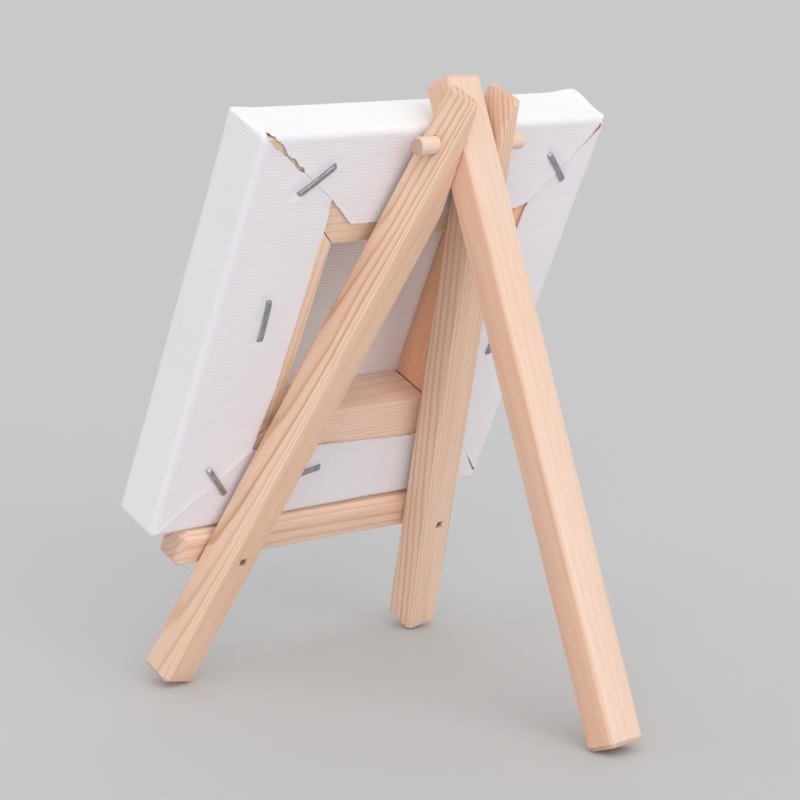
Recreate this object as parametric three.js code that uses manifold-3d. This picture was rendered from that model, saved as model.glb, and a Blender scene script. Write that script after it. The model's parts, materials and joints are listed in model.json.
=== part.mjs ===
// Tabletop easel of three square pine sticks, with a small stretched canvas standing on it.
// Millimetres, +Z up. The canvas faces -Y and the prop leg stands out behind, towards +Y.
// "left" and "right" are as seen from the front, so right is +X.
import * as THREE from "three";
import { ConvexGeometry } from "three/addons/geometries/ConvexGeometry.js";
import { RoundedBoxGeometry } from "three/addons/geometries/RoundedBoxGeometry.js";
import { mergeVertices } from "three/addons/utils/BufferGeometryUtils.js";
import Module from "manifold-3d";

const GAP = 0.3; // between pieces that touch
const RUNNING = 0.09; // between the dowel and its holes, on the radius

// Front legs: one plane that leans back, meeting like an A at the top.
const LEAN = 25.2; // degrees from vertical
const LEG_WIDTH = 9.0;
const LEG_DEPTH = 9.1;
const LEG_ABOVE_PIVOT = 11.8; // along the leg
const FEET_BELOW_PIVOT = 136.6; // down the slope
const STICK_CHAMFER = 1.0; // every leg has its edges broken
// How each leg stands: which side, degrees from the middle plane, its centreline's distance from
// that plane level with the dowel, and the gap between its pared top and the prop leg.
const FRONT_LEGS = {
  front_leg_right: { side: 1, splay: 14.0, atPivot: 5.0, gap: 0.3 },
  front_leg_left: { side: -1, splay: 13.0, atPivot: 6.2, gap: 1.0 },
};

// Dowel through the tops of all three legs.
const PIVOT_HEIGHT = 99.8; // up the slope from the ledge
const PIVOT_DEPTH = 4.6; // behind the fronts of the legs
const DOWEL_RADIUS = 2.0;
const DOWEL_ENDS = [-16.4, 14.5]; // left and right, from the middle plane
const DOWEL_CHAMFER = 0.35;

// Prop leg, turning on the dowel.
const PROP_ANGLE = 20.3; // degrees from vertical
const PROP_WIDTH = 9.7;
const PROP_DEPTH = 8.5;
const PROP_ABOVE_PIVOT = 14.2;
const PROP_SETBACK = 0.5; // middle of its depth, behind its hole

// Ledge: a bar across the fronts of the legs, held by a brad through each leg from behind.
const LEDGE_LENGTH = 82.6;
const LEDGE_HEIGHT = 9.3;
const LEDGE_DEPTH = 8.0;
const LEDGE_CHAMFER = 1.4;
const LEDGE_TOP = -0.8; // up the slope, in the middle
const LEDGE_TILT = 0.8; // degrees, low at the left end
// Each brad's distance from the middle plane, to the right, and its place up the slope.
const BRADS = { ledge_brad_right: [30.6, -2.9], ledge_brad_left: [-30.2, -3.6] };
const BRAD_SHANK = [0.8, 1.0]; // across and up the slope
const BRAD_HEAD = [1.3, 1.2, 0.9]; // across, up the slope and thick
const BRAD_SUNK = 0.4; // head below the back of the leg
const BRAD_LENGTH = 14.0;

// Canvas: cotton wrapped round four mitred bars and stapled down at the back.
const CANVAS_SIZE = 100;
const CANVAS_DEPTH = 13.0;
const CANVAS_STANDOFF = 1.3; // back of the cloth to the legs, room for the staples
const CANVAS_BOTTOM = 0.27; // up the slope, just clear of the high end of the ledge
const CANVAS_EDGE = 1.5; // rounding of the cloth's outside edges
const CLOTH = 0.4;
const BAR_INSIDE = 27.1; // canvas edge to the inside face of a bar
// Inside edge of the cloth turned over on to the back, as x and height, with its cut corners.
const TURNED_EDGE = [
  [28.4, 20.1], [27.2, 36], [27.1, 56], [27.5, 78.7], [28.1, 84.4], [20.1, 77.7],
  [-7, 77.9], [-29.5, 78.1], [-33.2, 79.5], [-32.6, 73.6], [-32.4, 45], [-32.9, 20.6],
  [-22.2, 16.6], [7.8, 18.3],
];

const STAPLE_CROWN = 10.8;
const STAPLE_LEG = 6.0;
const WIRE_THICKNESS = 0.6;
const WIRE_WIDTH = 1.2;
// Middle of each crown as x and height up the canvas, and its direction in degrees.
const STAPLES = {
  staple_top_right: [33.9, 89.5, -39],
  staple_right: [36.6, 55.0, 86],
  staple_bottom_right: [35.9, 12.8, 48],
  staple_bottom: [10.5, 11.3, -8],
  staple_bottom_left: [-34.5, 12.0, -45],
  staple_left: [-38.0, 42.8, 90],
  staple_top_left: [-38.4, 88.1, 44],
  staple_top: [-4.0, 89.0, 2],
};

const DEG = Math.PI / 180;
const THROUGH = 80; // longer than anything a cutter goes through
const ROUND_SEGMENTS = 48;
const EDGE_SEGMENTS = 3;

const PINE = { color: 0xe6c3a0, roughness: 0.62 };
const PALE_PINE = { color: 0xeccfb8, roughness: 0.58 };
const COTTON = { color: 0xf2f0f4, roughness: 0.92 };
const STEEL = { color: 0xa4a6a8, roughness: 0.35, metalness: 0.9 };

const wasm = await Module();
wasm.setup();

// A closed three.js surface as a solid that can be cut.
function solid(geometry) {
  const bare = new THREE.BufferGeometry();
  bare.setAttribute("position", geometry.getAttribute("position"));
  bare.setIndex(geometry.index);
  const merged = mergeVertices(bare);
  return new wasm.Manifold(new wasm.Mesh({
    numProp: 3,
    vertProperties: merged.getAttribute("position").array,
    triVerts: new Uint32Array(merged.index.array),
  }));
}

// The solid back as a surface of flat facets.
function surface(body) {
  const { vertProperties, triVerts } = body.getMesh();
  const geometry = new THREE.BufferGeometry();
  geometry.setAttribute("position", new THREE.BufferAttribute(vertProperties, 3));
  geometry.setIndex(new THREE.BufferAttribute(triVerts, 1));
  geometry.computeVertexNormals();
  return geometry;
}

function join(geometries) {
  return surface(geometries.map(solid).reduce((whole, piece) => whole.add(piece)));
}

// A named sub-part of a group. Its position and rotation are in the group's space.
function addPiece(group, name, geometry, look, position, turn = 0) {
  const mesh = new THREE.Mesh(geometry, new THREE.MeshStandardMaterial(look));
  mesh.name = name;
  mesh.position.set(...position);
  mesh.rotation.z = turn * DEG;
  mesh.updateMatrix();
  group.add(mesh);
  return mesh;
}

// Takes cutters, given in the group's space, out of a sub-part.
function carve(mesh, cutters) {
  const toPiece = mesh.matrix.clone().invert();
  const rest = cutters.reduce(
    (body, cutter) => body.subtract(solid(cutter.clone().applyMatrix4(toPiece))),
    solid(mesh.geometry));
  mesh.geometry = surface(rest);
}

// Stick lying along Y from one distance to another, with all its edges cut at 45 degrees.
function stick(width, depth, from, to, chamfer = STICK_CHAMFER) {
  const size = [width, to - from, depth];
  const points = [];
  for (let flatAxis = 0; flatAxis < 3; flatAxis++) {
    for (let corner = 0; corner < 8; corner++) {
      const point = size.map((extent, axis) => {
        const reach = extent / 2 - (axis === flatAxis ? 0 : chamfer);
        return (corner >> axis) & 1 ? reach : -reach;
      });
      points.push(new THREE.Vector3(...point));
    }
  }
  return new ConvexGeometry(points).translate(0, (from + to) / 2, 0);
}

// Round rod along X with its ends broken.
function rod(radius, [from, to], chamfer) {
  const profile = [
    new THREE.Vector2(0, from),
    new THREE.Vector2(radius - chamfer, from),
    new THREE.Vector2(radius, from + chamfer),
    new THREE.Vector2(radius, to - chamfer),
    new THREE.Vector2(radius - chamfer, to),
    new THREE.Vector2(0, to),
  ];
  return new THREE.LatheGeometry(profile, ROUND_SEGMENTS).rotateZ(-Math.PI / 2);
}

function pivotHole(y, z) {
  const radius = DOWEL_RADIUS + RUNNING;
  return rod(radius, [-THROUGH / 2, THROUGH / 2], DOWEL_CHAMFER).translate(0, y, z);
}

// The table easel stands in its own space; the leaning pieces share a tilted group in which
// x runs across, y up the slope from the ledge, and z out of the front.
const easel = new THREE.Group();
const leaning = new THREE.Group();
leaning.rotation.x = (90 - LEAN) * DEG;
easel.add(leaning);

// Brad from its head at z = 0 towards +Z, or the larger hole that it sits in.
function brad(clearance) {
  const [width, height, thickness] = BRAD_HEAD.map((size) => size + 2 * clearance);
  const [across, along] = BRAD_SHANK.map((size) => size + 2 * clearance);
  const length = BRAD_LENGTH + 2 * clearance;
  return join([
    new THREE.BoxGeometry(width, height, thickness).translate(0, 0, BRAD_HEAD[2] / 2),
    new THREE.BoxGeometry(across, along, length).translate(0, 0, BRAD_LENGTH / 2),
  ]);
}

// Square mouth that a sunk head leaves in the back of the leg.
function bradMouth() {
  const [width, height] = BRAD_HEAD.map((size) => size + 2 * GAP);
  return new THREE.BoxGeometry(width, height, 2 * BRAD_SUNK + GAP);
}

const bradPlaces = Object.entries(BRADS)
  .map(([name, [x, y]]) => [name, [x, y, BRAD_SUNK - LEG_DEPTH]]);
const bradHoles = bradPlaces.flatMap(([, place]) =>
  [brad(GAP).translate(...place), bradMouth().translate(...place)]);

function addFrontLeg([name, { side, splay, atPivot, gap }]) {
  const cornerDrop = (LEG_WIDTH / 2 - STICK_CHAMFER) * Math.sin(splay * DEG);
  const belowPivot = (FEET_BELOW_PIVOT - cornerDrop) / Math.cos(splay * DEG);
  const geometry = stick(LEG_WIDTH, LEG_DEPTH, -belowPivot, LEG_ABOVE_PIVOT);
  const place = [side * atPivot, PIVOT_HEIGHT, -LEG_DEPTH / 2];
  const leg = addPiece(leaning, name, geometry, PINE, place, side * splay);
  // The top is pared away on the inside, so that it lies flat beside the prop leg.
  const paring = new THREE.BoxGeometry(THROUGH, THROUGH, THROUGH);
  const pared = PROP_WIDTH / 2 + gap;
  paring.translate(side * (pared - THROUGH / 2), PIVOT_HEIGHT, 0);
  carve(leg, [paring, pivotHole(PIVOT_HEIGHT, -PIVOT_DEPTH), ...bradHoles]);
  return leg;
}

const frontLegs = Object.entries(FRONT_LEGS).map(addFrontLeg);
addPiece(leaning, "pivot_dowel", rod(DOWEL_RADIUS, DOWEL_ENDS, DOWEL_CHAMFER), PALE_PINE,
  [0, PIVOT_HEIGHT, -PIVOT_DEPTH]);

const ledgeStick = stick(
  LEDGE_HEIGHT, LEDGE_DEPTH, -LEDGE_LENGTH / 2, LEDGE_LENGTH / 2, LEDGE_CHAMFER);
const ledge = addPiece(leaning, "ledge_bar", ledgeStick, PINE,
  [0, LEDGE_TOP - LEDGE_HEIGHT / 2, GAP + LEDGE_DEPTH / 2], 90 + LEDGE_TILT);
carve(ledge, bradHoles);
for (const [name, place] of bradPlaces) addPiece(leaning, name, brad(0), STEEL, place);

// The prop leg is as long as it must be for its foot to stand level with the front feet.
easel.updateMatrixWorld(true);
const pivot = leaning.localToWorld(new THREE.Vector3(0, PIVOT_HEIGHT, -PIVOT_DEPTH));
const table = new THREE.Box3().setFromObject(frontLegs[0], true).min.z;
const footDrop = (PROP_DEPTH / 2 - STICK_CHAMFER - PROP_SETBACK) * Math.sin(PROP_ANGLE * DEG);
const propBelowPivot = (pivot.z - table - footDrop) / Math.cos(PROP_ANGLE * DEG);

const propping = new THREE.Group();
propping.position.copy(pivot);
propping.rotation.x = (90 + PROP_ANGLE) * DEG;
easel.add(propping);
const prop = addPiece(propping, "prop_leg",
  stick(PROP_WIDTH, PROP_DEPTH, -propBelowPivot, PROP_ABOVE_PIVOT), PALE_PINE,
  [0, 0, -PROP_SETBACK]);
carve(prop, [pivotHole(0, 0)]);

// The canvas' own space starts in the middle of its bottom edge, at the back of the cloth.
const canvas = new THREE.Group();
canvas.position.set(0, CANVAS_BOTTOM, CANVAS_STANDOFF);
leaning.add(canvas);

// The canvas' outside block, made smaller by the same amount on every side.
function canvasBlock(inset) {
  const side = CANVAS_SIZE - 2 * inset;
  const depth = CANVAS_DEPTH - 2 * inset;
  return new RoundedBoxGeometry(side, side, depth, EDGE_SEGMENTS, CANVAS_EDGE - inset)
    .translate(0, CANVAS_SIZE / 2, CANVAS_DEPTH / 2);
}

// A staple's legs at the origin, reaching forward from the inside of its crown.
function stapleLegs(clearance) {
  const out = (STAPLE_CROWN - WIRE_THICKNESS) / 2;
  const thick = WIRE_THICKNESS + 2 * clearance;
  const wide = WIRE_WIDTH + 2 * clearance;
  const long = STAPLE_LEG + GAP + clearance;
  return [-out, out].map((x) =>
    new THREE.BoxGeometry(thick, wide, long).translate(x, 0, long / 2 - GAP));
}

function stapleCrown() {
  return new THREE.BoxGeometry(STAPLE_CROWN, WIRE_WIDTH, WIRE_THICKNESS)
    .translate(0, 0, -GAP - WIRE_THICKNESS / 2);
}

for (const [name, [x, height, turn]] of Object.entries(STAPLES)) {
  addPiece(canvas, name, join([stapleCrown(), ...stapleLegs(0)]), STEEL, [x, height, 0], turn);
}
const stapleHoles = Object.values(STAPLES).flatMap(([x, height, turn]) =>
  stapleLegs(GAP).map((leg) => leg.rotateZ(turn * DEG).translate(x, height, 0)));

const turnedOutline = TURNED_EDGE.map(([x, height]) => new THREE.Vector2(x, height));
const turnedOpening = new THREE.ExtrudeGeometry(new THREE.Shape(turnedOutline),
  { depth: 2 * CLOTH + GAP, bevelEnabled: false }).translate(0, 0, -CLOTH);
const cloth = addPiece(canvas, "canvas_cloth", canvasBlock(0), COTTON, [0, 0, 0]);
carve(cloth, [canvasBlock(CLOTH), turnedOpening, ...stapleHoles]);

// One bar along the bottom of a square about the origin, with mitred ends.
function mitredBar() {
  const outside = CANVAS_SIZE / 2 - CLOTH - GAP;
  const inside = CANVAS_SIZE / 2 - BAR_INSIDE;
  const shorter = GAP * Math.SQRT1_2; // leaves the gap between two mitres
  const outline = [
    new THREE.Vector2(shorter - outside, -outside),
    new THREE.Vector2(outside - shorter, -outside),
    new THREE.Vector2(inside - shorter, -inside),
    new THREE.Vector2(shorter - inside, -inside),
  ];
  return new THREE.ExtrudeGeometry(new THREE.Shape(outline),
    { depth: CANVAS_DEPTH, bevelEnabled: false });
}

const insideCloth = canvasBlock(CLOTH + GAP).translate(0, -CANVAS_SIZE / 2, 0);
const barNames = ["stretcher_bottom", "stretcher_right", "stretcher_top", "stretcher_left"];
barNames.forEach((name, quarter) => {
  const geometry = surface(solid(mitredBar()).intersect(solid(insideCloth)));
  const bar = addPiece(canvas, name, geometry, PINE, [0, CANVAS_SIZE / 2, 0], 90 * quarter);
  carve(bar, stapleHoles);
});

// Origin on the table, under the middle of everything.
easel.updateMatrixWorld(true);
const extent = new THREE.Box3().setFromObject(easel, true);
const middle = extent.getCenter(new THREE.Vector3());
easel.position.set(-middle.x, -middle.y, -extent.min.z);

const group = new THREE.Group();
group.name = "tabletop_easel";
group.add(easel);

export default group;
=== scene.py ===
import json
import math
import random

import bmesh
import bpy
import numpy as np
from mathutils import Matrix, Vector, noise


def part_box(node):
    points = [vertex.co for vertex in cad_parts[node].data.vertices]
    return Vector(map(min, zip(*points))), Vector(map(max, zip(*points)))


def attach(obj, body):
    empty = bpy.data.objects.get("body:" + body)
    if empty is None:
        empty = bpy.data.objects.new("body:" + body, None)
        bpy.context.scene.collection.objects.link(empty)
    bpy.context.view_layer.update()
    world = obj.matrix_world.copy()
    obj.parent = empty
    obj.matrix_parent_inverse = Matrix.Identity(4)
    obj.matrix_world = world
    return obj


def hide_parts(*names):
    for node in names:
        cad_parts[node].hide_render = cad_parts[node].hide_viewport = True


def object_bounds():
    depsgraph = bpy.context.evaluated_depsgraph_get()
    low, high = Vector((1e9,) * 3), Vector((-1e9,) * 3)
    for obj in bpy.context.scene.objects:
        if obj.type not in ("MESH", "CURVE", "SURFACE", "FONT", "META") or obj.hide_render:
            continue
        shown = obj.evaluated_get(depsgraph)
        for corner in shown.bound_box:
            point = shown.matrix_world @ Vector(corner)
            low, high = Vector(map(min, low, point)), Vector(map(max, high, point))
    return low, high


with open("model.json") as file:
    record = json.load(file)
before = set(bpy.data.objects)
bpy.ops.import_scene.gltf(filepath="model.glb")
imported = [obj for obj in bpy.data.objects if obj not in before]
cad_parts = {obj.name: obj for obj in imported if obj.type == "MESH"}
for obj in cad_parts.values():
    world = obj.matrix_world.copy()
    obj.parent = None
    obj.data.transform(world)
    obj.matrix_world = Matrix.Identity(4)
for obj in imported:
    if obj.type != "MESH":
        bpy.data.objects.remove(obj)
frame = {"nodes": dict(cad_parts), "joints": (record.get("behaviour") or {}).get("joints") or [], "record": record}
cad_low, cad_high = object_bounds()
nodes = frame["nodes"]
MM = 0.001

# ---------------------------------------------------------------- directions and places

joints = {j["name"]: j for j in frame["joints"]}
mounts = {m["name"]: m for m in frame["record"]["mounts"]}
ACROSS = Vector((1, 0, 0))
OUT = Vector(joints["canvas_lift"]["axis"]).normalized()  # out of the canvas' front
UPHILL = OUT.cross(ACROSS)  # up the slope
PIVOT = Vector(joints["prop_fold"]["pos_m"])

# The canvas' own space in mm: x across, y up from its bottom edge, z from its back forwards.
SIDE, DEPTH = 100.0, 13.0
# How far the canvas is out of square, in mm. Each side is moved to the right, at its bottom and at
# its top; the bottom and top edges are moved up, at the left and at the right.
RIGHT_SIDE = (0.46, 1.64)
LEFT_SIDE = (0.46, -0.12)
BOTTOM_EDGE = (-0.45, -0.15)
TOP_EDGE = (0.55, 0.45)
EDGE_REACH = 12  # how far in from the bottom and top edges the cloth moves with them
front_face = Vector(mounts["canvas_front"]["pos_m"])
canvas_origin = front_face - UPHILL * SIDE / 2 * MM - OUT * DEPTH * MM
CANVAS = np.array([ACROSS, UPHILL, OUT]).T
ORIGIN = np.array(canvas_origin)


def canvas_to_world(points):
    return np.asarray(points, float) @ CANVAS.T * MM + ORIGIN


def world_to_canvas(points):
    return (np.asarray(points, float) - ORIGIN) @ CANVAS / MM


def smooth(value, low, high):
    t = np.clip((value - low) / (high - low), 0, 1)
    return t * t * (3 - 2 * t)


def out_of_square(points):
    """How far points of a square canvas are moved: across, up, and not at all in depth."""
    x, y = points.T[:2]
    share_up = np.clip(y / SIDE, 0, 1)
    share_right = np.clip(x / SIDE + 0.5, 0, 1)
    across = smooth(x, 0, SIDE / 2) * np.interp(share_up, (0, 1), RIGHT_SIDE)
    across += (1 - smooth(x, -SIDE / 2, 0)) * np.interp(share_up, (0, 1), LEFT_SIDE)
    up = (1 - smooth(y, 0, EDGE_REACH)) * np.interp(share_right, (0, 1), BOTTOM_EDGE)
    up += smooth(y, SIDE - EDGE_REACH, SIDE) * np.interp(share_right, (0, 1), TOP_EDGE)
    return np.array([across, up, np.zeros(len(points))]).T


# ---------------------------------------------------------------- camera

# Fitted to the photo: place in m, angles in degrees, lens and sensor in mm.
CAMERA_PLACE = Vector((0.3731, 0.3933, 0.1635))
CAMERA_YAW, CAMERA_PITCH, CAMERA_ROLL = (math.radians(a) for a in (222.417, 9.972, 0.059))
CAMERA_LENS, CAMERA_SENSOR = 112.19, 36
CAMERA_CLIP = (0.01, 1000)


def add_camera():
    level, down = math.cos(CAMERA_PITCH), math.sin(CAMERA_PITCH)
    ahead = Vector((math.sin(CAMERA_YAW) * level, math.cos(CAMERA_YAW) * level, -down))
    right = Vector((math.cos(CAMERA_YAW), -math.sin(CAMERA_YAW), 0))
    up = right.cross(ahead)
    turn, rise = math.sin(CAMERA_ROLL), math.cos(CAMERA_ROLL)
    axes = (right * rise + up * turn, up * rise - right * turn, -ahead)
    camera = bpy.data.objects.new("camera", bpy.data.cameras.new("camera"))
    camera.matrix_world = Matrix.Translation(CAMERA_PLACE) @ Matrix(axes).transposed().to_4x4()
    camera.data.lens = CAMERA_LENS
    camera.data.sensor_width = CAMERA_SENSOR
    camera.data.clip_start, camera.data.clip_end = CAMERA_CLIP
    bpy.context.scene.collection.objects.link(camera)
    bpy.context.scene.camera = camera


add_camera()

# ---------------------------------------------------------------- shader helpers


def new_material(name):
    material = bpy.data.materials.new(name)
    material.use_nodes = True
    return material, material.node_tree, material.node_tree.nodes["Principled BSDF"]


def node(tree, kind, sockets=None, **settings):
    """A new node. sockets gives inputs by name or number, each a value or another node's output."""
    made = tree.nodes.new(kind)
    for key, value in settings.items():
        setattr(made, key, value)
    for key, value in (sockets or {}).items():
        if isinstance(value, bpy.types.NodeSocket):
            tree.links.new(value, made.inputs[key])
        else:
            made.inputs[key].default_value = value
    return made


def maths(tree, operation, a, b=0.0, clamp=False):
    sockets = {0: a, 1: b}
    return node(tree, "ShaderNodeMath", sockets, operation=operation, use_clamp=clamp).outputs[0]


def plus(tree, a, b):
    return maths(tree, "ADD", a, b)


def times(tree, a, b):
    return maths(tree, "MULTIPLY", a, b)


def scaled(tree, value, gain, base, clamp=False):
    """base + gain * value"""
    return maths(tree, "ADD", times(tree, value, gain), base, clamp)


def attribute(tree, name, output):
    return node(tree, "ShaderNodeAttribute", attribute_name=name).outputs[output]


def split(tree, vector):
    return node(tree, "ShaderNodeSeparateXYZ", {0: vector}).outputs


def cloudy(tree, vector, scale, detail=2.0, rough=0.5):
    """Noise from 0 to 1 over vector, which is first multiplied by scale."""
    sockets = {0: vector, 1: scale}
    stretched = node(tree, "ShaderNodeVectorMath", sockets, operation="MULTIPLY").outputs[0]
    sockets = {"Vector": stretched, "Scale": 1.0, "Detail": detail, "Roughness": rough}
    return node(tree, "ShaderNodeTexNoise", sockets).outputs[0]


def mixed(tree, factor, a, b, blend="MIX"):
    made = node(tree, "ShaderNodeMix", data_type="RGBA", blend_type=blend)
    for key, value in ((0, factor), (6, a), (7, b)):
        if isinstance(value, bpy.types.NodeSocket):
            tree.links.new(value, made.inputs[key])
        else:
            made.inputs[key].default_value = (*value, 1) if isinstance(value, tuple) else value
    return made.outputs[2]


def ramped(tree, factor, stops):
    """A value that follows stops, each a place from 0 to 1 and its level."""
    made = node(tree, "ShaderNodeValToRGB", {0: factor})
    elements = made.color_ramp.elements
    while len(elements) < len(stops):
        elements.new(0.5)
    for element, (place, level) in zip(elements, stops):
        element.position = place
        element.color = (level, level, level, 1)
    return made.outputs[0]


def shaded(tree, colour, value):
    """A colour multiplied by a number."""
    grey = node(tree, "ShaderNodeCombineColor", {0: value, 1: value, 2: value}).outputs[0]
    return mixed(tree, 1.0, colour, grey, "MULTIPLY")


def add_bump(tree, shader, strength, distance, height):
    sockets = {"Strength": strength, "Distance": distance, "Height": height}
    bump = node(tree, "ShaderNodeBump", sockets)
    tree.links.new(bump.outputs[0], shader.inputs["Normal"])


# ---------------------------------------------------------------- pine

# Scales of noise over the place in the log, per mm; the third is along the grain.
WARP_SCALE = (0.07, 0.07, 0.014)
FIBRE_SCALE = (4.6, 4.6, 0.09)
STREAK_SCALE = (1.1, 1.1, 0.022)
BLOTCH_SCALE = (0.12, 0.12, 0.02)
PORE_SCALE = (5.0, 5.0, 0.6)
# How much latewood there is from the start of a year's ring to its end.
RING_STOPS = ((0, 0.12), (0.40, 0.04), (0.66, 0.34), (0.84, 1.0), (0.94, 0.80), (1, 0.15))
BLOTCH_STOPS = ((0.35, 0.0), (0.65, 1.0))
# What blotches and heartwood do to the wood's colour.
WARM, WARM_SHARE = (1.0, 0.72, 0.50), 0.16
HEARTWOOD = (1.0, 0.86, 0.80)
END_TINTS = ((0.76, 0.66, 0.64), (0.95, 0.90, 0.90))
PINE_BUMP, PINE_BUMP_HEIGHT = 0.35, 0.00012
PINE_SPECULAR = 0.32


def pine(name, pitch, early, late, contrast=0.8, wave=1.2, rough=0.58, mottle=0.10, heart=None,
         end_tints=END_TINTS):
    """Solid pine: growth rings round the grain axis, fibres along it, and darker end grain.
    The mesh attribute grain holds the place in the log in mm, and end is 1 on end grain. heart is
    where along the log's first axis the redder heartwood starts and where it is full. end_tints is
    what end grain does to the colour, at its darkest and palest."""
    material, tree, shader = new_material(name)
    grain, end = attribute(tree, "grain", "Vector"), attribute(tree, "end", "Fac")
    axes = split(tree, grain)
    squares = plus(tree, maths(tree, "POWER", axes[0], 2.0), maths(tree, "POWER", axes[1], 2.0))
    rings = maths(tree, "DIVIDE", maths(tree, "SQRT", squares), pitch)
    warp = maths(tree, "SUBTRACT", cloudy(tree, grain, WARP_SCALE, 3.0), 0.5)
    phase = plus(tree, rings, times(tree, warp, wave))
    sockets = {"W": maths(tree, "FLOOR", phase)}
    year = node(tree, "ShaderNodeTexWhiteNoise", sockets, noise_dimensions="1D").outputs[0]
    band = ramped(tree, maths(tree, "FRACT", phase), RING_STOPS)
    strength = scaled(tree, year, 0.75, 0.50)
    latewood = maths(tree, "MULTIPLY", band, times(tree, strength, contrast), clamp=True)
    fibres = cloudy(tree, grain, FIBRE_SCALE, 4.0, 0.68)
    streaks = cloudy(tree, grain, STREAK_SCALE)
    blotches = cloudy(tree, grain, BLOTCH_SCALE)
    tint = scaled(tree, fibres, 0.34, 0.83)
    tint = times(tree, tint, scaled(tree, streaks, mottle, 1 - mottle / 2))
    colour = shaded(tree, mixed(tree, latewood, early, late), tint)
    warm = times(tree, ramped(tree, blotches, BLOTCH_STOPS), WARM_SHARE)
    colour = mixed(tree, warm, colour, WARM, "MULTIPLY")
    if heart:
        depth = node(tree, "ShaderNodeMapRange", {0: axes[0], 1: heart[0], 2: heart[1]}).outputs[0]
        colour = mixed(tree, depth, colour, HEARTWOOD, "MULTIPLY")
    pores = times(tree, cloudy(tree, grain, PORE_SCALE), 0.8)
    end_colour = mixed(tree, 1.0, colour, mixed(tree, pores, *end_tints), "MULTIPLY")
    tree.links.new(mixed(tree, end, colour, end_colour), shader.inputs["Base Color"])
    tree.links.new(scaled(tree, fibres, 0.16, rough - 0.08), shader.inputs["Roughness"])
    height = plus(tree, times(tree, fibres, 0.7), times(tree, band, 0.35))
    add_bump(tree, shader, PINE_BUMP, PINE_BUMP_HEIGHT, height)
    shader.inputs["Specular IOR Level"].default_value = PINE_SPECULAR
    return material


# ---------------------------------------------------------------- cotton and steel

RIB_PITCH = 0.82  # between the thick threads that run across, mm
THREAD_PITCH = 0.5  # between the threads that cross them, mm
# Scales of noise over the unfolded cloth, per mm; nothing varies with the third number.
WAVER_SCALE = (0.22, 0.9, 0.0)
SLUB_SCALE = (0.30, 1.1, 0.0)
CLOUD_SCALE = (0.035, 0.035, 0.0)
CLOUD_STOPS = ((0.35, 0.0), (0.7, 1.0))
PRIMED, PRIMED_BACK = (0.910, 0.912, 0.920), (0.885, 0.850, 0.900)
CLOUDED, CLOUD_SHARE = (0.895, 0.880, 0.905), 0.5
# The panel's unprimed inside: raw cotton made whiter than its own tone as painted light for the recess it lies in,
# and darker in the gaps between threads as painted shade.
INSIDE_GAPS_PAINTED_SHADE, INSIDE_THREADS_PAINTED_LIGHT = (0.84, 0.80, 0.86), (1.0, 0.985, 1.0)
THREAD_DARK, THREAD_PALE = (0.80, 0.78, 0.80), (0.93, 0.92, 0.93)
SCRATCH_SCALE = (9.0, 9.0, 0.35)
STAIN_SCALE = (0.9, 0.9, 0.5)
STAIN_STOPS = ((0.42, 0.0), (0.62, 1.0))


def cotton():
    """Plain-weave primed cotton, darker in the grooves between its ribs as painted shade. The mesh
    attribute weave holds the place on the unfolded cloth in mm, and its third number is 1 on the
    turned-over back and 2 on the unprimed inside of the panel, whose threads are whitened as painted
    light for the light in the recess and whose gaps are darker as painted shade."""
    material, tree, shader = new_material("cotton")
    weave = attribute(tree, "weave", "Vector")
    along, up, side = split(tree, weave)
    up = plus(tree, up, times(tree, cloudy(tree, weave, WAVER_SCALE), 0.5))
    row = maths(tree, "DIVIDE", up, RIB_PITCH)
    rib = maths(tree, "ABSOLUTE", maths(tree, "SINE", times(tree, row, math.pi)))
    crossing = plus(tree, times(tree, along, math.pi / THREAD_PITCH),
                    times(tree, maths(tree, "FLOOR", row), math.pi))
    over = scaled(tree, maths(tree, "SINE", crossing), 0.12, 0.88)
    slubs = plus(tree, cloudy(tree, weave, SLUB_SCALE, 3.0, 0.6), 0.5)
    height = times(tree, rib, times(tree, over, slubs))
    colour = mixed(tree, maths(tree, "MINIMUM", side, 1.0), PRIMED, PRIMED_BACK)
    clouds = ramped(tree, cloudy(tree, weave, CLOUD_SCALE), CLOUD_STOPS)
    colour = mixed(tree, times(tree, clouds, CLOUD_SHARE), colour, CLOUDED)
    # Painted shade: the primed cloth's colour is darker in the grooves between its ribs.
    colour = shaded(tree, colour, scaled(tree, height, 0.022, 0.978, clamp=True))
    inside = maths(tree, "SUBTRACT", side, 1.0, clamp=True)
    # Painted light and shade on the panel's raw inside: whitened threads, darker gaps.
    raw = mixed(tree, height, INSIDE_GAPS_PAINTED_SHADE, INSIDE_THREADS_PAINTED_LIGHT)
    tree.links.new(mixed(tree, inside, colour, raw), shader.inputs["Base Color"])
    tree.links.new(scaled(tree, height, 0.10, 0.84), shader.inputs["Roughness"])
    add_bump(tree, shader, 0.30, 0.00010, height)
    shader.inputs["Specular IOR Level"].default_value = 0.2
    shader.inputs["Sheen Weight"].default_value = 0.12
    shader.inputs["Sheen Roughness"].default_value = 0.5
    return material


def thread():
    """Loose ends of the cloth's threads."""
    material, tree, shader = new_material("thread")
    place = node(tree, "ShaderNodeTexCoord").outputs["Object"]
    twist = cloudy(tree, place, (4000, 4000, 4000))
    tree.links.new(mixed(tree, twist, THREAD_DARK, THREAD_PALE), shader.inputs["Base Color"])
    shader.inputs["Roughness"].default_value = 0.9
    return material


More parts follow.
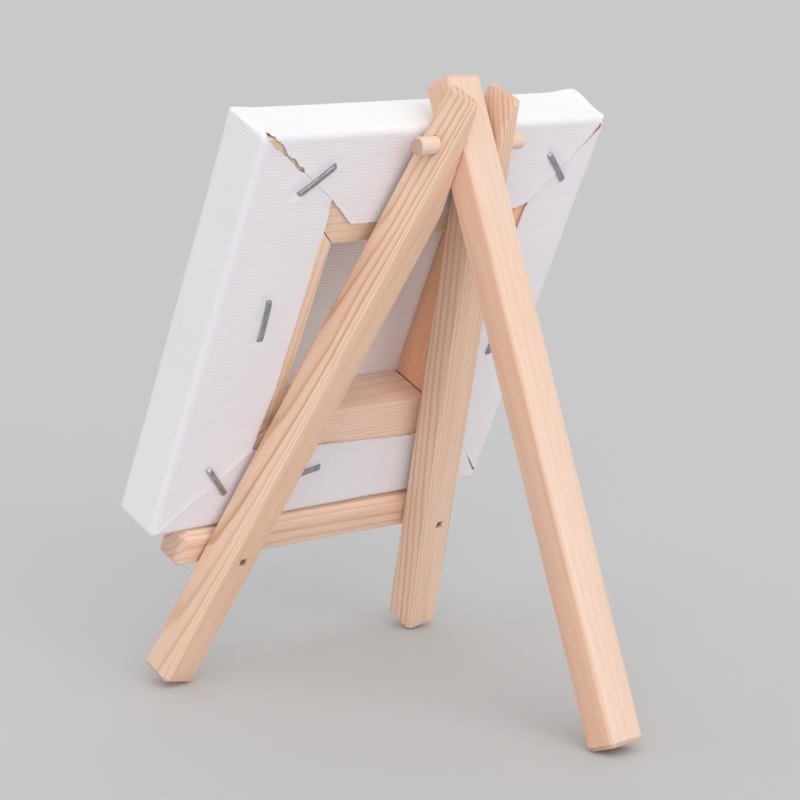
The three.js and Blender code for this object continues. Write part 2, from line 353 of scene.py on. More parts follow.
def steel(name, pale, dark, rough):
    """Drawn wire with fine scratches along it. The mesh attribute grain holds the place in mm, and
    its third number runs along the wire."""
    material, tree, shader = new_material(name)
    grain = attribute(tree, "grain", "Vector")
    scratches = cloudy(tree, grain, SCRATCH_SCALE, 3.0, 0.6)
    stains = ramped(tree, cloudy(tree, grain, STAIN_SCALE), STAIN_STOPS)
    factor = plus(tree, times(tree, scratches, 0.55), times(tree, stains, 0.45))
    tree.links.new(mixed(tree, factor, dark, pale), shader.inputs["Base Color"])
    tree.links.new(scaled(tree, scratches, 0.25, rough), shader.inputs["Roughness"])
    add_bump(tree, shader, 0.3, 0.00005, scratches)
    shader.inputs["Metallic"].default_value = 0.85
    return material


# ---------------------------------------------------------------- mesh helpers


def add_object(name, mesh, material):
    mesh.materials.clear()
    mesh.materials.append(material)
    made = bpy.data.objects.new(name, mesh)
    bpy.context.scene.collection.objects.link(made)
    return made


def settle(piece):
    """Puts the piece's modifiers into its mesh."""
    depsgraph = bpy.context.evaluated_depsgraph_get()
    evaluated = piece.evaluated_get(depsgraph)
    mesh = bpy.data.meshes.new_from_object(
        evaluated, preserve_all_data_layers=True, depsgraph=depsgraph)
    piece.modifiers.clear()
    piece.data = mesh


def vertices_of(mesh):
    flat = np.zeros(len(mesh.vertices) * 3)
    mesh.vertices.foreach_get("co", flat)
    return flat.reshape(-1, 3)


def write_attribute(mesh, name, kind, domain, values):
    layer = mesh.attributes.get(name) or mesh.attributes.new(name, kind, domain)
    field = "vector" if kind == "FLOAT_VECTOR" else "value"
    layer.data.foreach_set(field, np.ascontiguousarray(values, np.float32).ravel())


WELD, FLAT_ANGLE = 2e-6, math.radians(0.6)


def cad_facets(node_name):
    """A CAD node as a bmesh of whole flat faces."""
    bm = bmesh.new()
    bm.from_mesh(nodes[node_name].data)
    bmesh.ops.remove_doubles(bm, verts=bm.verts, dist=WELD)
    bmesh.ops.dissolve_limit(bm, angle_limit=FLAT_ANGLE, verts=bm.verts, edges=bm.edges)
    return bm


def longest_direction(bm):
    edge = max(bm.edges, key=lambda e: e.calc_length())
    along = (edge.verts[1].co - edge.verts[0].co).normalized()
    return along if max(along, key=abs) > 0 else -along


BEVEL_ANGLE = math.radians(18)  # edges sharper than this are rounded
# How the edges wander: two layers of noise, each its scale per mm and its share.
SLOW_WANDER, FAST_WANDER = (0.11, 0.75), (0.45, 0.25)
WANDER_SEED = 20
noise.seed_set(WANDER_SEED)  # unseeded, noise_vector differs from run to run


def worked(node_name, material, round_edges, wander=0.0, section=4.0, keep_clear=()):
    """A CAD node made fine: split into lengths of about section mm whose edges wander a little, as
    on planed and sanded wood, with its edges rounded by round_edges mm. keep_clear lists lines
    (point, direction, radius in m) where nothing wanders. Gives the piece, its direction and its
    middle."""
    bm = cad_facets(node_name)
    along = longest_direction(bm)
    places = [v.co.dot(along) for v in bm.verts]
    low, high = min(places), max(places)
    count = max(1, int((high - low) / MM / section))
    box_low, box_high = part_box(node_name)
    middle = (box_low + box_high) / 2
    for step in range(1, count if wander else 0):
        at = middle + along * (low + (high - low) * step / count - middle.dot(along))
        bmesh.ops.bisect_plane(bm, geom=bm.verts[:] + bm.edges[:] + bm.faces[:],
                               plane_co=at, plane_no=along, dist=2e-5)
    for vertex in bm.verts:
        place = vertex.co.copy()
        if any((place - point).cross(line).length < radius for point, line, radius in keep_clear):
            continue
        slow, fast = (noise.noise_vector(place / MM * scale) * share
                      for scale, share in (SLOW_WANDER, FAST_WANDER))
        drift = slow + fast
        vertex.co = place + (drift - along * drift.dot(along)) * wander * MM
    mesh = bpy.data.meshes.new(node_name + "_fine")
    bm.to_mesh(mesh)
    bm.free()
    mesh.shade_smooth()
    piece = add_object(node_name + "_fine", mesh, material)
    bevel = piece.modifiers.new("edges", "BEVEL")
    bevel.width = round_edges * MM
    bevel.segments = 2
    bevel.limit_method = "ANGLE"
    bevel.angle_limit = BEVEL_ANGLE
    bevel.harden_normals = True
    settle(piece)
    return piece, along, middle


# End grain starts where this much of the normal runs along the grain, and is full this much later.
END_STARTS, END_FULL_AFTER = 0.5, 0.4


def mark_grain(piece, along, across, middle, pith=(0.0, 0.0), tilt=(0.0, 0.0)):
    """Writes where each point lay in the log: mm from the pith, and along it. The pith passes the
    piece's middle at pith, and tilt is how far it strays from the piece's own direction."""
    third = along.cross(across)
    axes = np.array([across, third, along]).T
    local = (vertices_of(piece.data) - np.array(middle)) @ axes / MM
    log = local.copy()
    for axis in (0, 1):
        log[:, axis] -= pith[axis] + tilt[axis] * local[:, 2]
    write_attribute(piece.data, "grain", "FLOAT_VECTOR", "POINT", log)
    facing = np.array([abs(v.normal.dot(along)) for v in piece.data.vertices])
    end = np.clip((facing - END_STARTS) / END_FULL_AFTER, 0, 1)
    write_attribute(piece.data, "end", "FLOAT", "POINT", end)


def belongs(piece, body, slot, *replaced):
    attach(piece, body)
    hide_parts(*replaced)


# ---------------------------------------------------------------- sticks

# In the wood's look, pitch is the width of a year's ring in mm. In each call of worked, the first
# number is how far the edges are rounded and the second how far they wander, both in mm.
BORE_CLEAR = 0.0034  # so near the pivot's axis nothing wanders, in m: the bores stay round
pivot_line = (PIVOT, ACROSS, BORE_CLEAR)

# Per leg: early and late wood, where the pith lies, its tilt, and how far the rings wave.
for name, early, late, pith, tilt, wave in (
    ("front_leg_right", (0.885, 0.640, 0.495), (0.68, 0.39, 0.24),
     (-27.0, 6.5), (0.030, 0.020), 2.2),
    ("front_leg_left", (0.945, 0.700, 0.555), (0.74, 0.46, 0.31),
     (25.0, -13.0), (-0.020, 0.010), 1.5),
):
    look = pine(name + "_pine", 0.72, early, late, contrast=1.0, wave=wave)
    leg, along, middle = worked(name, look, 0.28, 0.09, keep_clear=(pivot_line,))
    mark_grain(leg, along, OUT.cross(along), middle, pith, tilt)
    belongs(leg, "easel_frame", "pine", name)

look = pine("prop_leg_pine", 1.9, (0.855, 0.645, 0.525), (0.79, 0.55, 0.41), contrast=0.42,
            wave=2.2, rough=0.55, mottle=0.06, heart=(26.1, 26.7))
prop, along, middle = worked("prop_leg", look, 0.28, 0.09, keep_clear=(pivot_line,))
mark_grain(prop, along, ACROSS, middle, (-22.0, 16.0), (0.0, -0.03))
belongs(prop, "prop", "pale_pine", "prop_leg")

look = pine("ledge_bar_pine", 1.5, (0.93, 0.69, 0.555), (0.78, 0.48, 0.33), contrast=0.75)
ledge, along, middle = worked("ledge_bar", look, 0.8, 0.08)
mark_grain(ledge, along, OUT, middle, (5.0, -5.5), (0.02, 0.015))
belongs(ledge, "easel_frame", "pine", "ledge_bar")

# The dowel's end grain is darker than the other pieces': end grain, with painted shade on its ends.
look = pine("pivot_dowel_pine", 1.2, (0.86, 0.67, 0.56), (0.78, 0.55, 0.43), contrast=0.5,
            wave=0.6, rough=0.5, end_tints=((0.66, 0.53, 0.50), (0.90, 0.80, 0.78)))
dowel, along, middle = worked("pivot_dowel", look, 0.12)
mark_grain(dowel, along, OUT, middle, (5.0, 3.0), (0.01, 0.0))
belongs(dowel, "easel_frame", "pale_pine", "pivot_dowel")

# All four bars' early wood, here and in the table below, is brighter than their own pine: painted light for the
# light that reaches the recess they lie in.
BAR_EARLY_AND_PAINTED_LIGHT = (0.95, 0.73, 0.57)
BAR_LATE_SHARE = 0.8  # of the early wood's colour
for name, early, pitch, pith, tilt in (
    ("stretcher_bottom", (0.95, 0.71, 0.58), 1.0, (-11.0, 26.0), (0.01, 0.02)),
    ("stretcher_top", BAR_EARLY_AND_PAINTED_LIGHT, 1.8, (14.0, -22.0), (-0.01, 0.02)),
    ("stretcher_right", BAR_EARLY_AND_PAINTED_LIGHT, 1.5, (8.0, 24.0), (0.01, -0.02)),
    ("stretcher_left", (0.98, 0.58, 0.38), 2.0, (-9.0, -30.0), (0.02, 0.01)),
):
    late = tuple(BAR_LATE_SHARE * c for c in early)
    look = pine(name + "_pine", pitch, early, late, wave=1.0, rough=0.62)
    bar, along, middle = worked(name, look, 0.2, 0.04, section=6.0)
    mark_grain(bar, along, OUT, middle, pith, tilt)
    square = world_to_canvas(vertices_of(bar.data))
    places = canvas_to_world(square + out_of_square(square))
    bar.data.vertices.foreach_set("co", places.astype(np.float32).ravel())
    bar.data.update()
    belongs(bar, "canvas", "pine", name)

# ---------------------------------------------------------------- brads and staples

brad_look = steel("brad_steel", (0.30, 0.28, 0.24), (0.10, 0.09, 0.07), 0.35)
for name in ("ledge_brad_left", "ledge_brad_right"):
    brad, along, middle = worked(name, brad_look, 0.1)
    mark_grain(brad, along, ACROSS, middle)
    belongs(brad, "easel_frame", "steel", name)

WIRE_THICK, WIRE_WIDE, WIRE_ROUND = 0.6, 1.2, 0.17  # section of a staple's wire, mm
STAPLE_BEND = 0.75  # radius of its bends, to the middle of the wire
CROWN_MIDDLE = -0.30  # depth of the crown, pressed on to the cloth
CROWN_BOW = 0.05
BEND_STEPS, ROUND_STEPS = 5, 3
STAPLE_CREASE = math.radians(60)
staple_look = steel("staple_steel", (0.54, 0.57, 0.60), (0.26, 0.28, 0.30), 0.28)
staple_places = {}


def staple_place(node_name):
    """Middle, direction and length of a staple's crown in the canvas' space, in mm, and how deep
    its legs go."""
    bm = cad_facets(node_name)
    crown = max(bm.edges, key=lambda e: e.calc_length())
    ends = world_to_canvas([v.co for v in crown.verts])
    points = world_to_canvas([v.co for v in bm.verts])
    bm.free()
    middle = (points[:, :2].min(0) + points[:, :2].max(0)) / 2
    direction = (ends[1] - ends[0])[:2]
    length = float(np.linalg.norm(direction))
    depth = float(points[:, 2].max())
    return middle, direction / length, length, depth


def staple_path(length, depth):
    """Middle of the wire, along the crown and in depth: a leg, a bend, the crown and so back."""
    half = length / 2 - WIRE_THICK / 2
    path = [(-half, depth), (-half, STAPLE_BEND + CROWN_MIDDLE)]
    for side in (-1, 1):
        turns = range(1, BEND_STEPS + 1) if side < 0 else range(BEND_STEPS, -1, -1)
        for turn in turns:
            angle = math.pi / 2 * turn / BEND_STEPS
            reach = half - STAPLE_BEND + STAPLE_BEND * math.cos(angle)
            path.append((side * reach, CROWN_MIDDLE + STAPLE_BEND * (1 - math.sin(angle))))
        if side < 0:
            for share in (0.25, 0.5, 0.75):
                bow = CROWN_BOW * math.sin(math.pi * share)
                path.append(((2 * share - 1) * (half - STAPLE_BEND), CROWN_MIDDLE - bow))
    path.append((half, depth))
    return path


def wire_section():
    """Outline of the wire's rounded oblong section."""
    section = []
    wide, thick = WIRE_WIDE / 2 - WIRE_ROUND, WIRE_THICK / 2 - WIRE_ROUND
    for corner, (sign_w, sign_t) in enumerate(((1, 1), (-1, 1), (-1, -1), (1, -1))):
        for step in range(ROUND_STEPS + 1):
            angle = math.pi / 2 * (corner + step / ROUND_STEPS)
            section.append((sign_w * wide + WIRE_ROUND * math.cos(angle),
                            sign_t * thick + WIRE_ROUND * math.sin(angle)))
    return section


def add_staple(name):
    middle, direction, length, depth = staple_place(name)
    staple_places[name] = (middle, direction, length)
    path, section = staple_path(length, depth), wire_section()
    bm = bmesh.new()
    rings, places = [], []
    run = 0.0
    side_way = np.array([-direction[1], direction[0], 0.0])
    lengthwise = np.array([direction[0], direction[1], 0.0])
    inward = np.array([0.0, 0.0, 1.0])
    for index, (s, z) in enumerate(path):
        before = np.array(path[max(index - 1, 0)])
        after = np.array(path[min(index + 1, len(path) - 1)])
        heading = (after - before) / np.linalg.norm(after - before)
        across = lengthwise * -heading[1] + inward * heading[0]
        centre = np.array([middle[0], middle[1], 0.0]) + lengthwise * s + inward * z
        if index:
            run += float(np.linalg.norm(np.array(path[index]) - np.array(path[index - 1])))
        ring = []
        for wide_at, thick_at in section:
            point = centre + side_way * wide_at + across * thick_at
            ring.append(bm.verts.new(canvas_to_world(point)))
            places.append((wide_at + middle[0], thick_at + middle[1], run))
        rings.append(ring)
    for first, second in zip(rings, rings[1:]):
        for i in range(len(section)):
            j = (i + 1) % len(section)
            bm.faces.new((first[i], first[j], second[j], second[i]))
    bm.faces.new(rings[0][::-1])
    bm.faces.new(rings[-1])
    bmesh.ops.recalc_face_normals(bm, faces=bm.faces)
    mesh = bpy.data.meshes.new(name + "_fine")
    bm.to_mesh(mesh)
    bm.free()
    mesh.shade_smooth()
    mesh.set_sharp_from_angle(angle=STAPLE_CREASE)
    write_attribute(mesh, "grain", "FLOAT_VECTOR", "POINT", places)
    belongs(add_object(name + "_fine", mesh, staple_look), "canvas", "steel", name)


for name in sorted(n for n in nodes if n.startswith("staple_")):
    add_staple(name)

# ---------------------------------------------------------------- cloth

# All in mm in the canvas' space.
CLOTH_THICK = 0.38
BACK_EDGE, FRONT_EDGE, TOP_FRONT_EDGE = 1.5, 1.3, 0.7  # rounding of the outside edges
CORNERS = {
    "top_right": (50, 100), "top_left": (-50, 100),
    "bottom_left": (-50, 0), "bottom_right": (50, 0),
}
# Where two turned-over flaps meet at a corner: steps from the opening to the canvas' corner, each a
# share of the way and the gap in mm on either side of the straight line. Wide gaps show the bar.
SEAMS = {
    "top_right": ((0.00, 0.04, 0.04), (0.45, 0.03, 0.03), (0.47, 0.25, 0.30), (0.50, 0.55, 0.50),
                  (0.56, 0.60, 0.20), (0.64, 0.45, 0.55), (0.72, 0.30, 0.10), (0.80, 0.50, 0.60),
                  (0.88, 0.65, 0.95), (0.95, 0.70, 0.90), (1.03, 0.50, 0.60)),
    "top_left": ((0.00, 0.03, 0.03), (0.60, 0.03, 0.04), (0.68, 0.26, 0.22), (0.78, 0.45, 0.50),
                 (0.88, 0.80, 0.75), (0.97, 0.95, 0.90), (1.08, 0.80, 0.70)),
    "bottom_left": ((0.00, 0.04, 0.04), (0.60, 0.03, 0.03), (0.72, 0.20, 0.20), (0.90, 0.45, 0.40),
                    (1.04, 0.45, 0.45)),
    "bottom_right": ((0.00, 0.05, 0.04), (0.20, 0.03, 0.03), (0.50, 0.05, 0.03), (0.80, 0.08, 0.06),
                     (0.97, 0.05, 0.05)),
}
FRAY_STEP, FRAY_DEPTH, SEAM_STEP = 0.45, 0.13, 0.5
SEAM_SPREAD = (0.75, 1.25)  # each gap is multiplied by a random number between these
ON_BACK = 0.02  # how near z = 0 the CAD cloth's back face lies
FACING, EDGEWAYS = 0.99, 0.05  # of a face's normal along the way out of the back
rng = random.Random(20)


def opening_outline():
    """Inside edge of the turned-over cloth, from the CAD cloth's back face."""
    bm = cad_facets("canvas_cloth")
    away = -OUT
    loose = {}
    for edge in bm.edges:
        if len(edge.link_faces) != 2:
            continue
        facing = sorted(f.normal.dot(away) for f in edge.link_faces)
        on_back = all(abs(world_to_canvas([v.co])[0][2]) < ON_BACK for v in edge.verts)
        if on_back and abs(facing[0]) < EDGEWAYS and facing[1] > FACING:
            for a, b in (edge.verts, reversed(edge.verts)):
                loose.setdefault(a.index, []).append(b.index)
    points = {v.index: world_to_canvas([v.co])[0][:2] for v in bm.verts}
    bm.free()
    loops, seen = [], set()
    for start in loose:
        if start in seen:
            continue
        loop, here = [], start
        while here is not None and here not in seen:
            seen.add(here)
            loop.append(points[here])
            here = next((n for n in loose[here] if n not in seen), None)
        loops.append(np.array(loop))
    largest = max(loops, key=lambda p: np.ptp(p[:, 0]))
    x, y = largest.T
    turned = (x * np.roll(y, -1) - np.roll(x, -1) * y).sum() < 0
    return largest[::-1] if turned else largest


def frayed(points, step, depth):
    """The open line through points, with small ragged steps."""
    line = [np.array(points[0])]
    for a, b in zip(points, points[1:]):
        a, b = np.array(a), np.array(b)
        length = np.linalg.norm(b - a)
        count = max(1, int(length / step))
        normal = np.array([-(b - a)[1], (b - a)[0]]) / max(length, 1e-9)
        for i in range(1, count + 1):
            slip = 0 if i == count else rng.uniform(-depth, depth)
            line.append(a + (b - a) * i / count + normal * slip)
    return line


outline = opening_outline()
corner_of = {}
for name, corner in CORNERS.items():
    distances = np.linalg.norm(outline - np.array(corner), axis=1)
    corner_of[int(distances.argmin())] = name


def cut_shape():
    """Everything that the turned-over cloth leaves open, as one ragged outline that runs
    anticlockwise, and the stretches of it that fray."""
    shape, ragged = [], []
    count = len(outline)
    first = min(corner_of)
    order = [(first + i) % count for i in range(count + 1)]
    run = []
    for index in order:
        point = outline[index]
        if index not in corner_of:
            run.append(point)
            continue
        name = corner_of[index]
        corner = np.array(CORNERS[name], float)
        way = corner - point
        left = np.array([-way[1], way[0]]) / np.linalg.norm(way)
        shares, nears, fars = np.array(SEAMS[name]).T
        fine = np.linspace(shares[0], shares[-1], int(np.linalg.norm(way) / SEAM_STEP))
        fine = np.unique(np.concatenate([fine, shares]))
        going = [point + way * share - left * near * rng.uniform(*SEAM_SPREAD)
                 for share, near in zip(fine, np.interp(fine, shares, nears))]
        coming = [point + way * share + left * far * rng.uniform(*SEAM_SPREAD)
                  for share, far in zip(fine, np.interp(fine, shares, fars))][::-1]
        if run:
            stretch = frayed([*run, going[0]], FRAY_STEP, FRAY_DEPTH)
            shape += stretch[1:-1]
            ragged.append(stretch)
        if index == first and shape:
            break
        shape += going + coming
        run = [coming[-1]]
    return shape, ragged


shape, ragged = cut_shape()


def seam_distance(x, y, name):
    """How far points are from a corner's seam, and on which side they lie, in mm."""
    index = next(i for i, n in corner_of.items() if n == name)
    start, end = outline[index], np.array(CORNERS[name], float)
    way = (end - start) / np.linalg.norm(end - start)
    to_x, to_y = x - start[0], y - start[1]
    along = np.clip(to_x * way[0] + to_y * way[1], 0, np.linalg.norm(end - start))
    away = np.hypot(to_x - along * way[0], to_y - along * way[1])
    side = way[0] * to_y - way[1] * to_x
    return away, side


def line_distance(x, y, start, end):
    way = end - start
    share = np.clip(((x - start[0]) * way[0] + (y - start[1]) * way[1]) / (way @ way), 0, 1)
    return np.hypot(x - start[0] - share * way[0], y - start[1] - share * way[1])


def soft_noise(points, scale, seed):
    offset = Vector((seed * 17.3, seed * 5.1, seed * 9.7))
    return np.array([noise.noise(Vector(p) * scale + offset) for p in points])


def waves(points, layers):
    """Layers of noise added up, each with its height, its scale per mm and its seed."""
    return sum(height * soft_noise(points, scale, seed) for height, scale, seed in layers)


BACK_WAVES = ((0.10, 0.06, 1), (0.04, 0.22, 2))
SIDE_WAVES = ((0.09, 0.07, 4), (0.03, 0.25, 5))
# What lies on the back, each with its height and its reach.
CURL = (0.22, 1.3)  # the raw edge lifts
DENT = (0.20, 1.1)  # a staple's crown presses in
LEG_DENT = (0.14, 0.9)  # and its legs more
SWELLING, SWELLING_AT = (0.07, 1.2), 2.6  # the cloth rises round a staple, this far from it
PUCKER = (0.06, 1.2)  # on both sides of a seam
# At each seam, on which side the flap on top lies, and how much higher it is.
LAPS = (("bottom_right", -1, 0.20), ("top_right", 1, 0.16), ("top_left", -1, 0.22),
        ("bottom_left", 1, 0.2))
LAP_REACH = 2.4
# Bulges where layers are folded under a corner: x, y, z, height and reach.
BULGES = (
    (-48.0, 100.0, 11.0, 0.70, 4.0),
    (48.0, 100.0, 12.5, 0.25, 3.0),
    (50.0, 98.0, 12.5, 0.20, 3.0),
    (-47.0, 0.0, 8.0, 0.25, 4.0),
)
FOLD_WIDTH, FOLD_RISE = 0.9, 0.12  # the top and bottom cloth laps round on to the sides
FOLD_SOFTNESS = 0.25  # half the width over which that fold rises
EAR_RISE, EAR_REACH = 0.28, 2.6  # the top and bottom stand out towards the corners


def at_side(distance):
    """From 0 to 1 over the last mm before a side, for distances from the canvas' middle."""
    return smooth(distance, SIDE / 2 - 1.2, SIDE / 2 - 0.2)


def shaped(points):
    """Moves points on a plain rounded block to where the pulled, folded and stapled cloth lies."""
    x, y, z = points.T
    moved = points.copy()
    lift = waves(points, BACK_WAVES)
    away = np.full(len(points), SIDE)
    for a, b in zip(outline, np.roll(outline, -1, axis=0)):
        away = np.minimum(away, line_distance(x, y, a, b))
    curl = 0.5 + soft_noise(points, 0.12, 3)
    lift += CURL[0] * np.exp(-away / CURL[1]) * np.clip(curl, 0.1, 1)
    for middle, direction, length in staple_places.values():
        reach = direction * (length / 2 - 0.5)
        near = line_distance(x, y, middle - reach, middle + reach)
        lift -= DENT[0] * np.exp(-((near / DENT[1]) ** 2))
        for end in (middle - reach, middle + reach):
            near_leg = np.hypot(x - end[0], y - end[1])
            lift -= LEG_DENT[0] * np.exp(-((near_leg / LEG_DENT[1]) ** 2))
        lift += SWELLING[0] * np.exp(-(((near - SWELLING_AT) / SWELLING[1]) ** 2))
    for name, over, rise in LAPS:
        gap, side = seam_distance(x, y, name)
        lift += rise * np.exp(-gap / LAP_REACH) * (side * over > 0)
        lift += PUCKER[0] * np.exp(-gap / PUCKER[1])
    back = 1 - smooth(z, 0.6, 3.0)
    moved[:, 2] -= lift * back
    side_x = at_side(np.abs(x))
    side_y = at_side(np.abs(y - SIDE / 2))
    ripple = waves(points, SIDE_WAVES)
    from_edge = SIDE / 2 - np.abs(y - SIDE / 2)
    wander = 0.35 * soft_noise(points * np.array([0.2, 0.2, 1.0]), 0.35, 6)
    lap = 1 - smooth(from_edge + wander, FOLD_WIDTH - FOLD_SOFTNESS, FOLD_WIDTH + FOLD_SOFTNESS)
    moved[:, 0] += np.sign(x) * side_x * (ripple + FOLD_RISE * lap * smooth(z, 0.3, 1.8))
    ear = EAR_RISE * np.exp(-((SIDE / 2 - np.abs(x)) / EAR_REACH))
    moved[:, 1] += np.sign(y - SIDE / 2) * side_y * (ripple + ear)
    moved += out_of_square(points)
    for bx, by, bz, rise, reach in BULGES:
        square = (x - bx) ** 2 + (y - by) ** 2 + (z - bz) ** 2
        swell = rise * np.exp(-(square / reach ** 2))
        if abs(bx) == SIDE / 2:
            moved[:, 0] += np.sign(bx) * swell * side_x
        else:
            moved[:, 1] += np.sign(by - SIDE / 2) * swell * side_y
    return moved


def spread(low, high, fine, coarse, edge):
    """Places from low to high: fine apart for edge mm from both ends and coarse between."""
    near = [low + i * fine for i in range(int(round(edge / fine)) + 1)]
    inner_low, inner_high = near[-1], high - (near[-1] - low)
    count = max(1, int(round((inner_high - inner_low) / coarse)))
    middle = [inner_low + (inner_high - inner_low) * i / count for i in range(1, count)]
    return near + middle + [high - (p - low) for p in reversed(near)]


def rounded_block(inset, fine, coarse, edge):
    """Points and quads of the canvas' outside block, made smaller by inset, with a grid as in
    spread."""
    half = SIDE / 2 - inset
    places = [spread(-half, half, fine, coarse, edge),
              spread(inset, SIDE - inset, fine, coarse, edge),
              spread(inset, DEPTH - inset, fine, coarse, min(edge, BACK_EDGE))]
    points, quads, known = [], [], {}

    def corner(place):
        key = tuple(round(c, 5) for c in place)
        if key not in known:
            known[key] = len(points)
            points.append(place)
        return known[key]

    for axis in range(3):
        others = [a for a in range(3) if a != axis]
        for end in (0, -1):
            first, second = places[others[0]], places[others[1]]
            for i in range(len(first) - 1):
                for j in range(len(second) - 1):
                    quad = []
                    for di, dj in ((0, 0), (1, 0), (1, 1), (0, 1)):
                        place = [0.0, 0.0, 0.0]
                        place[axis] = places[axis][end]
                        place[others[0]], place[others[1]] = first[i + di], second[j + dj]
                        quad.append(corner(tuple(place)))
                    quads.append(quad if (axis != 1) == (end == -1) else quad[::-1])
    flat = np.array(points)
    front = np.interp(flat[:, 1], (0, SIDE), (FRONT_EDGE, TOP_FRONT_EDGE))
    to_front = smooth(flat[:, 2], 2.5, DEPTH - 3)
    radius = (BACK_EDGE + (front - BACK_EDGE) * to_front - inset)[:, None]
    low = np.array([p[0] for p in places]) + radius
    high = np.array([p[-1] for p in places]) - radius
    core = np.clip(flat, low, high)
    away = flat - core
    length = np.linalg.norm(away, axis=1, keepdims=True)
    return core + away / length * radius, quads


def mesh_of(name, parts):
    """One mesh of several closed surfaces, each points and faces in the canvas' space."""
    points, faces = [], []
    for some_points, some_faces in parts:
        shift = sum(len(p) for p in points)
        points.append(some_points)
        faces += [[i + shift for i in face] for face in some_faces]
    mesh = bpy.data.meshes.new(name)
    mesh.from_pydata(canvas_to_world(np.concatenate(points)).tolist(), [], faces)
    return mesh


OUTER_GRID, INNER_GRID = (0.375, 0.8, 4.5), (0.56, 1.6, 1.12)
KNIFE_LOW, KNIFE_HIGH = -2.5, 1.9  # the opening is cut from outside the back to inside it
CLOTH_CREASE = math.radians(48)


def build_cloth():
    outer, outer_quads = rounded_block(0.0, *OUTER_GRID)
    inner, inner_quads = rounded_block(CLOTH_THICK, *INNER_GRID)
    parts = [(shaped(outer), outer_quads), (shaped(inner), [quad[::-1] for quad in inner_quads])]
    cotton_look = cotton()
    cloth = add_object("canvas_cloth_fine", mesh_of("canvas_cloth_fine", parts), cotton_look)
    count = len(shape)
    low = [(*p, KNIFE_LOW) for p in shape]
    high = [(*p, KNIFE_HIGH) for p in shape]
    walls = [[i, (i + 1) % count, (i + 1) % count + count, i + count] for i in range(count)]
    faces = [list(range(count))[::-1], list(range(count, 2 * count)), *walls]
    knife = add_object("knife", mesh_of("knife", [(np.array(low + high), faces)]), cotton_look)
    cut = cloth.modifiers.new("cut", "BOOLEAN")
    cut.operation = "DIFFERENCE"
    cut.solver = "EXACT"
    cut.object = knife
    settle(cloth)
    bpy.data.objects.remove(knife)
    mesh = cloth.data
    mesh.materials.clear()
    mesh.materials.append(cotton_look)
    mesh.shade_smooth()
    mesh.set_sharp_from_angle(angle=CLOTH_CREASE)
    mark_weave(mesh)
    return cloth


BACK_FADE = 1.6  # how far round the edge the look of the back reaches
PANEL_MARGIN, PANEL_NEAR = 3, 0.3  # what counts as the panel's inside: from the sides, in depth


def mark_weave(mesh):
    """Writes each face corner's place on the unfolded cloth, so that threads run on round the
    edges, and which side of the cloth it is on."""
    points = world_to_canvas(vertices_of(mesh))
    count = len(mesh.polygons)
    normals = np.zeros(count * 3)
    mesh.polygons.foreach_get("normal", normals)
    normals = np.abs(normals.reshape(-1, 3) @ CANVAS)
    totals = np.zeros(count, np.int32)
    mesh.polygons.foreach_get("loop_total", totals)
    owner = np.repeat(np.arange(count), totals)
    which = np.zeros(len(mesh.loops), np.int32)
    mesh.loops.foreach_get("vertex_index", which)
    at = points[which]
    on_x = normals[owner, 0] >= normals[owner, 1]
    place = at.copy()
    place[:, 0] += np.where(on_x, np.sign(at[:, 0]) * at[:, 2], 0)
    place[:, 1] += np.where(on_x, 0, np.sign(at[:, 1] - SIDE / 2) * at[:, 2])
    place[:, 2] = 1 - smooth(at[:, 2], 0.0, BACK_FADE)
    from_middle = np.maximum(np.abs(at[:, 0]), np.abs(at[:, 1] - SIDE / 2))
    from_panel = np.abs(at[:, 2] - (DEPTH - CLOTH_THICK))
    # The panel's raw inside, which the cotton paints whiter as painted light, with painted shade in its gaps.
    inside = (from_panel < PANEL_NEAR) & (from_middle < SIDE / 2 - PANEL_MARGIN)
    place[:, 2] = np.where(inside, 2.0, place[:, 2])
    write_attribute(mesh, "weave", "FLOAT_VECTOR", "CORNER", place)


FRAYED_SHARE = 0.55  # of the ragged steps have a loose thread
THREAD_LENGTHS, THREAD_RADII, THREAD_TAPER = (0.35, 0.45, 0.6, 0.9), (0.035, 0.06), 0.75
THREAD_RINGS, THREAD_SIDES = 4, 3


def build_fray():
    """Short thread ends along the ragged edges."""
    points, faces = [], []
    for line in ragged:
        for a, b in zip(line, line[1:]):
            if rng.random() > FRAYED_SHARE:
                continue
            way = (b - a) / max(np.linalg.norm(b - a), 1e-9)
            inward = np.array([-way[1], way[0]])
            root = a + (b - a) * rng.random() - inward * 0.15
            length = rng.choice(THREAD_LENGTHS) * rng.uniform(0.8, 1.2)
            lean, radius = rng.uniform(-0.5, 0.5), rng.uniform(*THREAD_RADII)
            height, bend = rng.uniform(-0.12, 0.15), rng.uniform(-0.3, 0.5)
            start = len(points)
            for step in range(THREAD_RINGS):
                share = step / (THREAD_RINGS - 1)
                middle = root + inward * length * share + way * length * lean * share ** 1.5
                z = height + bend * share ** 2 * length
                for turn in range(THREAD_SIDES):
                    angle = 2 * math.pi * turn / THREAD_SIDES
                    size = radius * (1 - THREAD_TAPER * share)
                    offset = way * math.cos(angle) * size
                    points.append((middle[0] + offset[0], middle[1] + offset[1],
                                   z + math.sin(angle) * size))
            for step in range(THREAD_RINGS - 1):
                for turn in range(THREAD_SIDES):
                    i = start + step * THREAD_SIDES + turn
                    j = start + step * THREAD_SIDES + (turn + 1) % THREAD_SIDES
                    faces.append([i, j, j + THREAD_SIDES, i + THREAD_SIDES])
            last = start + (THREAD_RINGS - 1) * THREAD_SIDES
            faces += [[start + 2, start + 1, start], [last, last + 1, last + 2]]
    mesh = mesh_of("canvas_fray", [(np.array(points), faces)])
    mesh.shade_smooth()
    return add_object("canvas_fray", mesh, thread())


cloth = build_cloth()
belongs(cloth, "canvas", "cotton", "canvas_cloth")
fray = build_fray()
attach(fray, "canvas")

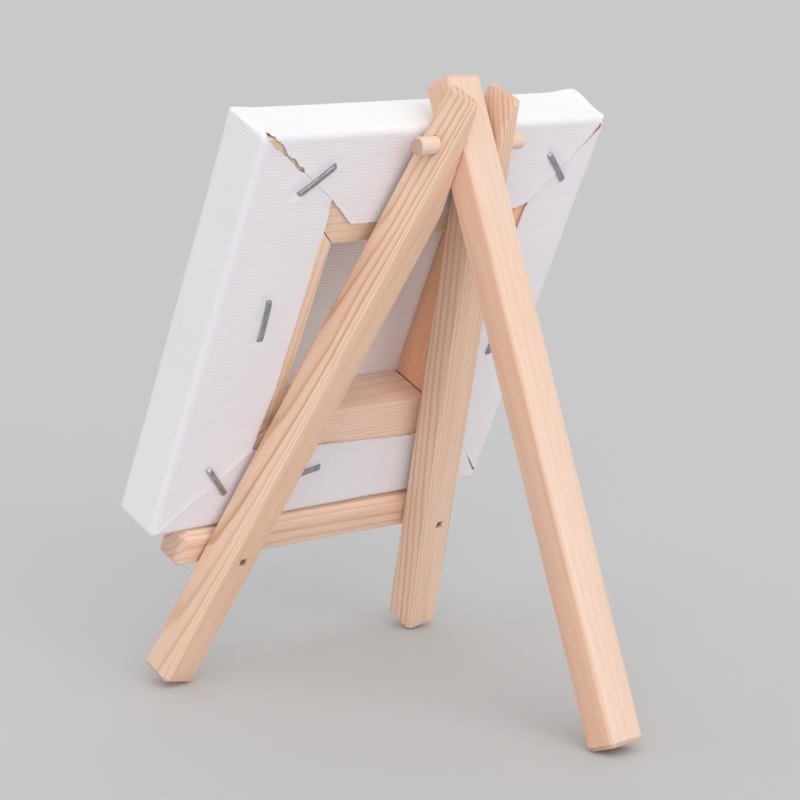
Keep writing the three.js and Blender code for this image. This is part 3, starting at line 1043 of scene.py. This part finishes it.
# ---------------------------------------------------------------- floor and light

FLOOR_RADIUS = 400.0  # m, so that the picture shows no horizon
FLOOR_TONE = (0.600, 0.601, 0.603)
SPECK_SHADE = 0.985
FLOOR_GAP = 0.00005  # between the floor and the feet
WORLD_TONE, WORLD_STRENGTH = (0.995, 0.998, 1.0, 1), 0.66


def add_floor():
    bm = bmesh.new()
    bmesh.ops.create_circle(bm, cap_ends=True, segments=96, radius=FLOOR_RADIUS)
    mesh = bpy.data.meshes.new("floor")
    bm.to_mesh(mesh)
    bm.free()
    material, tree, shader = new_material("floor")
    place = node(tree, "ShaderNodeTexCoord").outputs["Object"]
    specks = cloudy(tree, place, (900, 900, 900))
    dark = tuple(SPECK_SHADE * c for c in FLOOR_TONE)
    tree.links.new(mixed(tree, specks, dark, FLOOR_TONE), shader.inputs["Base Color"])
    shader.inputs["Roughness"].default_value = 0.8
    shader.inputs["Specular IOR Level"].default_value = 0.0
    floor = add_object("floor", mesh, material)
    floor.location = (0, 0, cad_low.z - FLOOR_GAP)


def add_sun(name, towards, strength, angle, tone):
    """A wide, soft light that stands in the direction towards, angle degrees across."""
    lamp = bpy.data.lights.new(name, "SUN")
    lamp.energy = strength * math.pi
    lamp.angle = math.radians(angle)
    lamp.color = tone
    made = bpy.data.objects.new(name, lamp)
    made.rotation_mode = "QUATERNION"
    made.rotation_quaternion = Vector(towards).to_track_quat("Z", "Y")
    bpy.context.scene.collection.objects.link(made)


add_floor()
add_sun("key", (0.30, 0.45, 0.84), 0.18, 55, (1.0, 0.995, 0.985))
add_sun("fill_back", (0.42, 0.89, 0.17), 0.50, 70, (0.99, 0.995, 1.0))
add_sun("fill_front", (-0.45, -0.78, 0.43), 0.12, 70, (1.0, 1.0, 1.0))

world = bpy.data.worlds.new("studio")
world.use_nodes = True
background = world.node_tree.nodes["Background"]
background.inputs[0].default_value = WORLD_TONE
background.inputs[1].default_value = WORLD_STRENGTH
bpy.context.scene.world = world
bpy.context.scene.view_settings.view_transform = "Standard"
